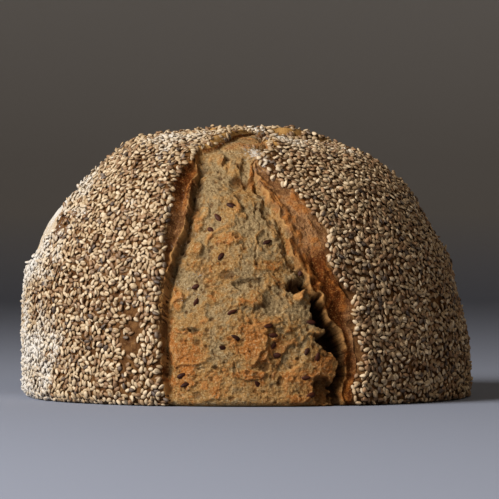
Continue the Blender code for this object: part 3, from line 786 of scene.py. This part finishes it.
def makeFlax():
    form = flaxForm
    chance = np.random.default_rng(form["seed"])
    turns = []
    drops = []
    for right, up in form["places"]:
        drop = np.linspace(0.2, math.pi / 2, 500)
        radius, height = domeAt(np.zeros_like(drop), drop)
        down = np.interp(-up, -height, drop)
        turns.append(math.asin(right / np.interp(down, drop, radius)))
        drops.append(down)
    turns = np.array(turns)
    drops = np.array(drops)
    others = [180 + chance.uniform(-12, 12, form["strewn"]), chance.uniform(35, 86, form["strewn"])]
    others = np.radians(np.stack(others))
    turns = np.concatenate([turns, others[0]])
    drops = np.concatenate([drops, others[1]])
    step = 0.008
    middle = loafSurface(turns, drops)["points"]
    across = loafSurface(turns + step, drops)["points"] - loafSurface(turns - step, drops)["points"]
    down = loafSurface(turns, drops + step)["points"] - loafSurface(turns, drops - step)["points"]
    normals = np.cross(down, across)
    normals /= np.linalg.norm(normals, axis=-1)[:, None]
    bareNormal = middle - np.array([0, 0, 0.03])
    bareNormal /= np.linalg.norm(bareNormal, axis=-1)[:, None]
    normals = normals * 0.4 + bareNormal
    normals /= np.linalg.norm(normals, axis=-1)[:, None]
    lift = np.full(len(middle), form["thickness"] * 0.12)
    matrices, places = seedMatrices(middle, normals, lift, 0.25, 0.08, chance)
    model = modelSeed("seedModel", form["length"], form["width"], form["thickness"], form["point"], 12, 8)
    return joinSeeds("flax", model, matrices, places, {"tone": chance.random(len(places))})


print("laying the seeds")
sesame = makeSesame()
flax = makeFlax()


# Finishes. Colours are linear.
def newMaterial(name, roughness, shine):
    material = bpy.data.materials.new(name)
    material.use_nodes = True
    shader = material.node_tree.nodes["Principled BSDF"]
    shader.inputs["Roughness"].default_value = roughness
    shader.inputs["Specular IOR Level"].default_value = shine
    return material, material.node_tree, shader


def addNode(tree, kind, inputs=None, **settings):
    node = tree.nodes.new(kind)
    for name, value in settings.items():
        setattr(node, name, value)
    for name, value in (inputs or {}).items():
        if isinstance(value, bpy.types.NodeSocket):
            tree.links.new(value, node.inputs[name])
        else:
            node.inputs[name].default_value = value
    return node


def layerOf(tree, name):
    return addNode(tree, "ShaderNodeAttribute", attribute_name=name).outputs["Fac"]


def noiseOf(tree, place, scale, detail=3.0, roughness=0.55, distortion=0.0):
    inputs = {
        "Vector": place, "Scale": scale, "Detail": detail, "Roughness": roughness, "Distortion": distortion,
    }
    return addNode(tree, "ShaderNodeTexNoise", inputs).outputs["Fac"]


def mapped(tree, value, low, high, toLow=0.0, toHigh=1.0):
    inputs = {"Value": value, "From Min": low, "From Max": high, "To Min": toLow, "To Max": toHigh}
    return addNode(tree, "ShaderNodeMapRange", inputs).outputs["Result"]


def blended(tree, share, first, second):
    node = addNode(tree, "ShaderNodeMix", data_type="RGBA")
    for socket, value in ((node.inputs[0], share), (node.inputs[6], first), (node.inputs[7], second)):
        if isinstance(value, bpy.types.NodeSocket):
            tree.links.new(value, socket)
        elif isinstance(value, tuple):
            socket.default_value = (*value, 1.0)
        else:
            socket.default_value = value
    return node.outputs[2]


def sumOf(tree, operation, first, second):
    node = addNode(tree, "ShaderNodeMath", operation=operation)
    for socket, value in zip(node.inputs, (first, second)):
        if isinstance(value, bpy.types.NodeSocket):
            tree.links.new(value, socket)
        else:
            socket.default_value = value
    return node.outputs[0]


def bumped(tree, shader, height, strength, distance):
    inputs = {"Height": height, "Strength": strength, "Distance": distance}
    bump = addNode(tree, "ShaderNodeBump", inputs)
    tree.links.new(bump.outputs["Normal"], shader.inputs["Normal"])


# The near-black colour is painted shade and shadow. The darkest toast colour is both dark toasted specks and
# painted shade. The lip colour is partly painted highlight, and the band colour partly painted shade.
breadColours = {
    "crust": (0.160, 0.082, 0.032), "crustDark": (0.055, 0.021, 0.006), "crustGold": (0.45, 0.27, 0.10),
    "crumb": (0.300, 0.175, 0.066), "crumbPale": (0.54, 0.42, 0.260), "crumbDamp": (0.270, 0.196, 0.104),
    "toast": (0.32, 0.126, 0.031), "darkToastAndShade": (0.066, 0.020, 0.003),
    "band": (0.115, 0.034, 0.007), "bandPale": (0.305, 0.172, 0.086), "lip": (0.49, 0.285, 0.115),
    "ember": (0.33, 0.125, 0.028),
    "flour": (0.60, 0.575, 0.535), "paintedShadow": (0.026, 0.009, 0.003),
}


def flourCover(tree, place, colour, strength):
    dust = noiseOf(tree, place, 950.0, 4.0, 0.7)
    cover = sumOf(tree, "SUBTRACT", layerOf(tree, "flour"), mapped(tree, dust, 0.30, 0.70, 0.0, 0.75))
    return blended(tree, mapped(tree, cover, 0.0, 0.30, 0.0, strength), colour, breadColours["flour"])


def breadFinish():
    colours = breadColours
    material, tree, shader = newMaterial("bakedBread", 0.82, 0.10)
    place = addNode(tree, "ShaderNodeTexCoord").outputs["Object"]
    mottled = noiseOf(tree, place, 330.0, 5.0, 0.66)
    flecked = noiseOf(tree, place, 760.0, 3.0, 0.6)
    grain = noiseOf(tree, place, 1500.0, 3.0, 0.7)
    clouded = noiseOf(tree, place, 125.0, 3.0, 0.6, 0.6)
    browning = sumOf(tree, "ADD", layerOf(tree, "browning"), mapped(tree, mottled, 0.30, 0.70, -0.34, 0.34))
    browning = sumOf(tree, "ADD", browning, mapped(tree, clouded, 0.30, 0.70, -0.26, 0.26))
    crumb = blended(tree, mapped(tree, browning, 0.10, 0.45), colours["crumbDamp"], colours["crumb"])
    crumb = blended(tree, mapped(tree, browning, 0.58, 0.95, 0.0, 0.9), crumb, colours["toast"])
    crumb = blended(tree, mapped(tree, grain, 0.52, 0.66, 0.0, 0.44), crumb, colours["crumbPale"])
    crumb = blended(tree, mapped(tree, grain, 0.46, 0.34, 0.0, 0.50), crumb, colours["darkToastAndShade"])
    crumb = blended(tree, mapped(tree, flecked, 0.58, 0.72, 0.0, 0.5), crumb, colours["crumbPale"])
    crumb = blended(tree, mapped(tree, flecked, 0.43, 0.28, 0.0, 0.70), crumb, colours["darkToastAndShade"])
    crumb = blended(tree, sumOf(tree, "MULTIPLY", layerOf(tree, "top"), 0.10), crumb, colours["crumbPale"])
    # Painted shade in pores, tears, deep marks and under the ledge.
    crumb = blended(tree, sumOf(tree, "MULTIPLY", layerOf(tree, "dark"), 0.78), crumb, colours["darkToastAndShade"])
    # The dark band colour is partly the browned crust's own colour and partly painted shade from the seeded
    # edge above it.
    band = blended(tree, layerOf(tree, "bandTone"), colours["band"], colours["bandPale"])
    band = blended(tree, mapped(tree, browning, 0.50, 0.95, 0.0, 0.75), band, colours["ember"])
    # Low band browning turns dark, and with it the painted shade behind the ridge and on the left band.
    band = blended(tree, mapped(tree, browning, 0.45, 0.15, 0.0, 0.6), band, colours["darkToastAndShade"])
    band = blended(tree, mapped(tree, grain, 0.54, 0.66, 0.0, 0.55), band, colours["crustGold"])
    band = blended(tree, mapped(tree, grain, 0.46, 0.34, 0.0, 0.70), band, colours["darkToastAndShade"])
    torn = blended(tree, layerOf(tree, "band"), crumb, band)
    # The lip colour is partly the torn edge's own paler colour and partly painted highlight on curled edges
    # and the ridge.
    torn = blended(tree, sumOf(tree, "MULTIPLY", layerOf(tree, "lip"), 0.80), torn, colours["lip"])
    left = blended(tree, mapped(tree, mottled, 0.35, 0.70), colours["crumbPale"], colours["flour"])
    torn = blended(tree, sumOf(tree, "MULTIPLY", layerOf(tree, "leftBurst"), 0.8), torn, left)
    # Painted shade in deep places, the cavity and beside the left lip.
    torn = blended(tree, sumOf(tree, "MULTIPLY", layerOf(tree, "paintedDeepShade"), 0.88), torn, colours["paintedShadow"])
    torn = blended(tree, sumOf(tree, "MULTIPLY", layerOf(tree, "rim"), 0.7), torn, colours["crustGold"])
    torn = flourCover(tree, place, torn, 0.9)
    # Painted shadow in the gaps of the far cuts.
    torn = blended(tree, sumOf(tree, "MULTIPLY", layerOf(tree, "paintedGapShadow"), 0.95), torn, colours["paintedShadow"])
    tree.links.new(torn, shader.inputs["Base Color"])
    relief = sumOf(tree, "ADD", sumOf(tree, "MULTIPLY", grain, 0.5), sumOf(tree, "ADD", mottled, flecked))
    bumped(tree, shader, relief, 0.95, 0.0008)
    return material


def crustFinish():
    colours = breadColours
    material, tree, shader = newMaterial("seededCrust", 0.78, 0.12)
    place = addNode(tree, "ShaderNodeTexCoord").outputs["Object"]
    mottled = noiseOf(tree, place, 260.0, 4.0, 0.6)
    grain = noiseOf(tree, place, 1300.0, 3.0, 0.7)
    colour = blended(tree, mapped(tree, mottled, 0.35, 0.62), colours["crustDark"], colours["crust"])
    colour = blended(tree, mapped(tree, grain, 0.58, 0.72, 0.0, 0.5), colour, colours["crustGold"])
    colour = blended(tree, sumOf(tree, "MULTIPLY", layerOf(tree, "rim"), 0.85), colour, colours["crustGold"])
    colour = flourCover(tree, place, colour, 0.9)
    # Painted shadow in the gaps of the far cuts.
    colour = blended(tree, sumOf(tree, "MULTIPLY", layerOf(tree, "paintedGapShadow"), 0.95), colour, colours["paintedShadow"])
    tree.links.new(colour, shader.inputs["Base Color"])
    bumped(tree, shader, grain, 0.6, 0.0005)
    return material


seedColours = {
    "sesamePale": ((0.60, 0.485, 0.34), (0.43, 0.325, 0.205)),
    "sesameTan": ((0.45, 0.335, 0.21), (0.32, 0.222, 0.130)),
    "sesameToasted": ((0.33, 0.205, 0.115), (0.19, 0.120, 0.070)),
    "sesameDark": ((0.19, 0.145, 0.11), (0.085, 0.065, 0.055)),
    "sesameFloured": ((0.58, 0.495, 0.375), (0.40, 0.31, 0.215)),
}


def seedFinish(name):
    light, dark = seedColours[name]
    material, tree, shader = newMaterial(name, 0.50, 0.30)
    place = addNode(tree, "ShaderNodeTexCoord").outputs["Object"]
    streak = noiseOf(tree, place, 900.0, 3.0, 0.6)
    colour = blended(tree, layerOf(tree, "tone"), light, dark)
    colour = blended(tree, mapped(tree, streak, 0.48, 0.75, 0.0, 0.35), colour, breadColours["crust"])
    colour = flourCover(tree, place, colour, 0.85)
    tree.links.new(colour, shader.inputs["Base Color"])
    bumped(tree, shader, streak, 0.35, 0.0003)
    return material


def flaxFinish():
    material, tree, shader = newMaterial("flaxSeed", 0.55, 0.20)
    place = addNode(tree, "ShaderNodeTexCoord").outputs["Object"]
    streak = noiseOf(tree, place, 700.0, 2.0)
    tone = sumOf(tree, "MULTIPLY", layerOf(tree, "tone"), streak)
    colour = blended(tree, tone, (0.030, 0.009, 0.005), (0.100, 0.030, 0.014))
    tree.links.new(colour, shader.inputs["Base Color"])
    bumped(tree, shader, streak, 0.15, 0.0002)
    return material


print("finishing")
bread = breadFinish()
finishes = {crust: crustFinish(), flax: flaxFinish()}
for burst in bursts:
    finishes[burst] = bread
for piece in sesame:
    finishes[piece] = seedFinish(piece.name)
for piece, finish in finishes.items():
    piece.data.materials.clear()
    piece.data.materials.append(finish)

# The torn pieces and the seeds were shaped round the same middle as the solid, which was then centred.
crustPoints = coordinatesOf(crust)
middle = (crustPoints.min(axis=0) + crustPoints.max(axis=0)) / 2
loafLow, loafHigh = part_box("loaf")
shift = Vector(((loafLow.x + loafHigh.x) / 2 - middle[0], (loafLow.y + loafHigh.y) / 2 - middle[1], 0.0))
for piece in finishes:
    piece.data.transform(Matrix.Translation(shift))
    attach(piece, "root")
    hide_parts("loaf")

# A round studio: a pale floor that curves up into a grey wall, one big soft light and a weak one.
studioForm = {
    "floorRadius": 2.6, "wall": ((3.2, 0.10), (3.7, 0.42), (4.0, 1.0), (4.1, 2.0), (4.0, 3.2)),
    "floorColour": (0.27, 0.295, 0.368), "wallLow": (0.380, 0.364, 0.357), "wallHigh": (0.495, 0.482, 0.478),
    "keyPlace": (-1.17, -0.91, 0.85), "keySize": 1.0, "keyPower": 40.0, "keyColour": (1.0, 0.97, 0.93),
    "fillPlace": (0.7, -1.5, 1.2), "fillSize": 1.2, "fillPower": 6.8, "fillColour": (1.0, 0.88, 0.72),
    "worldColour": (1.0, 0.82, 0.60), "worldPower": 0.088,
    "aim": (0.0, 0.0, 0.06),
    "cameraPlace": (0.0014, -1.4, 0.0666), "lens": 222.2,
}


def makeStudio():
    form = studioForm
    deselectAll()
    bpy.ops.mesh.primitive_circle_add(vertices=96, radius=form["floorRadius"], fill_type="NGON")
    floor = added("studio")
    bpy.ops.object.mode_set(mode="EDIT")
    bpy.ops.mesh.select_mode(type="EDGE")
    bpy.ops.mesh.select_all(action="SELECT")
    bpy.ops.mesh.region_to_loop()
    radius, height = form["floorRadius"], 0.0
    for nextRadius, nextHeight in form["wall"]:
        growth = nextRadius / radius
        bpy.ops.mesh.extrude_edges_move(TRANSFORM_OT_translate={"value": (0, 0, nextHeight - height)})
        bpy.ops.transform.resize(value=(growth, growth, 1.0), center_override=(0, 0, nextHeight))
        radius, height = nextRadius, nextHeight
    bpy.ops.mesh.select_all(action="SELECT")
    bpy.ops.mesh.normals_make_consistent(inside=True)
    bpy.ops.object.mode_set(mode="OBJECT")
    shadeSmooth(floor)
    material, tree, shader = newMaterial("studioPaper", 0.9, 0.2)
    place = addNode(tree, "ShaderNodeTexCoord").outputs["Object"]
    height = addNode(tree, "ShaderNodeSeparateXYZ", {"Vector": place}).outputs["Z"]
    colour = blended(tree, mapped(tree, height, 0.0, 0.12), form["floorColour"], form["wallLow"])
    colour = blended(tree, mapped(tree, height, 0.20, 0.55), colour, form["wallHigh"])
    tree.links.new(colour, shader.inputs["Base Color"])
    floor.data.materials.append(material)


def addLight(name, place, size, power, colour):
    light = bpy.data.lights.new(name, "AREA")
    light.shape = "DISK"
    light.size = size
    light.energy = power
    light.color = colour
    lamp = bpy.data.objects.new(name, light)
    lamp.location = place
    lamp.rotation_euler = (Vector(studioForm["aim"]) - Vector(place)).to_track_quat("-Z", "Y").to_euler()
    bpy.context.scene.collection.objects.link(lamp)


def makeLights():
    form = studioForm
    addLight("keyLight", form["keyPlace"], form["keySize"], form["keyPower"], form["keyColour"])
    addLight("fillLight", form["fillPlace"], form["fillSize"], form["fillPower"], form["fillColour"])
    world = bpy.data.worlds.new("studioAir")
    world.use_nodes = True
    background = world.node_tree.nodes["Background"]
    background.inputs["Color"].default_value = (*form["worldColour"], 1.0)
    background.inputs["Strength"].default_value = form["worldPower"]
    bpy.context.scene.world = world


def makeCamera():
    form = studioForm
    camera = bpy.data.objects.new("camera", bpy.data.cameras.new("camera"))
    camera.location = form["cameraPlace"]
    camera.rotation_euler = (math.pi / 2, 0.0, 0.0)
    camera.data.sensor_width = 36.0
    camera.data.lens = form["lens"]
    bpy.context.scene.collection.objects.link(camera)
    bpy.context.scene.camera = camera
    bpy.context.scene.view_settings.view_transform = "Standard"
    bpy.context.scene.view_settings.look = "Medium High Contrast"


print("setting up the studio")
makeStudio()
makeLights()
makeCamera()
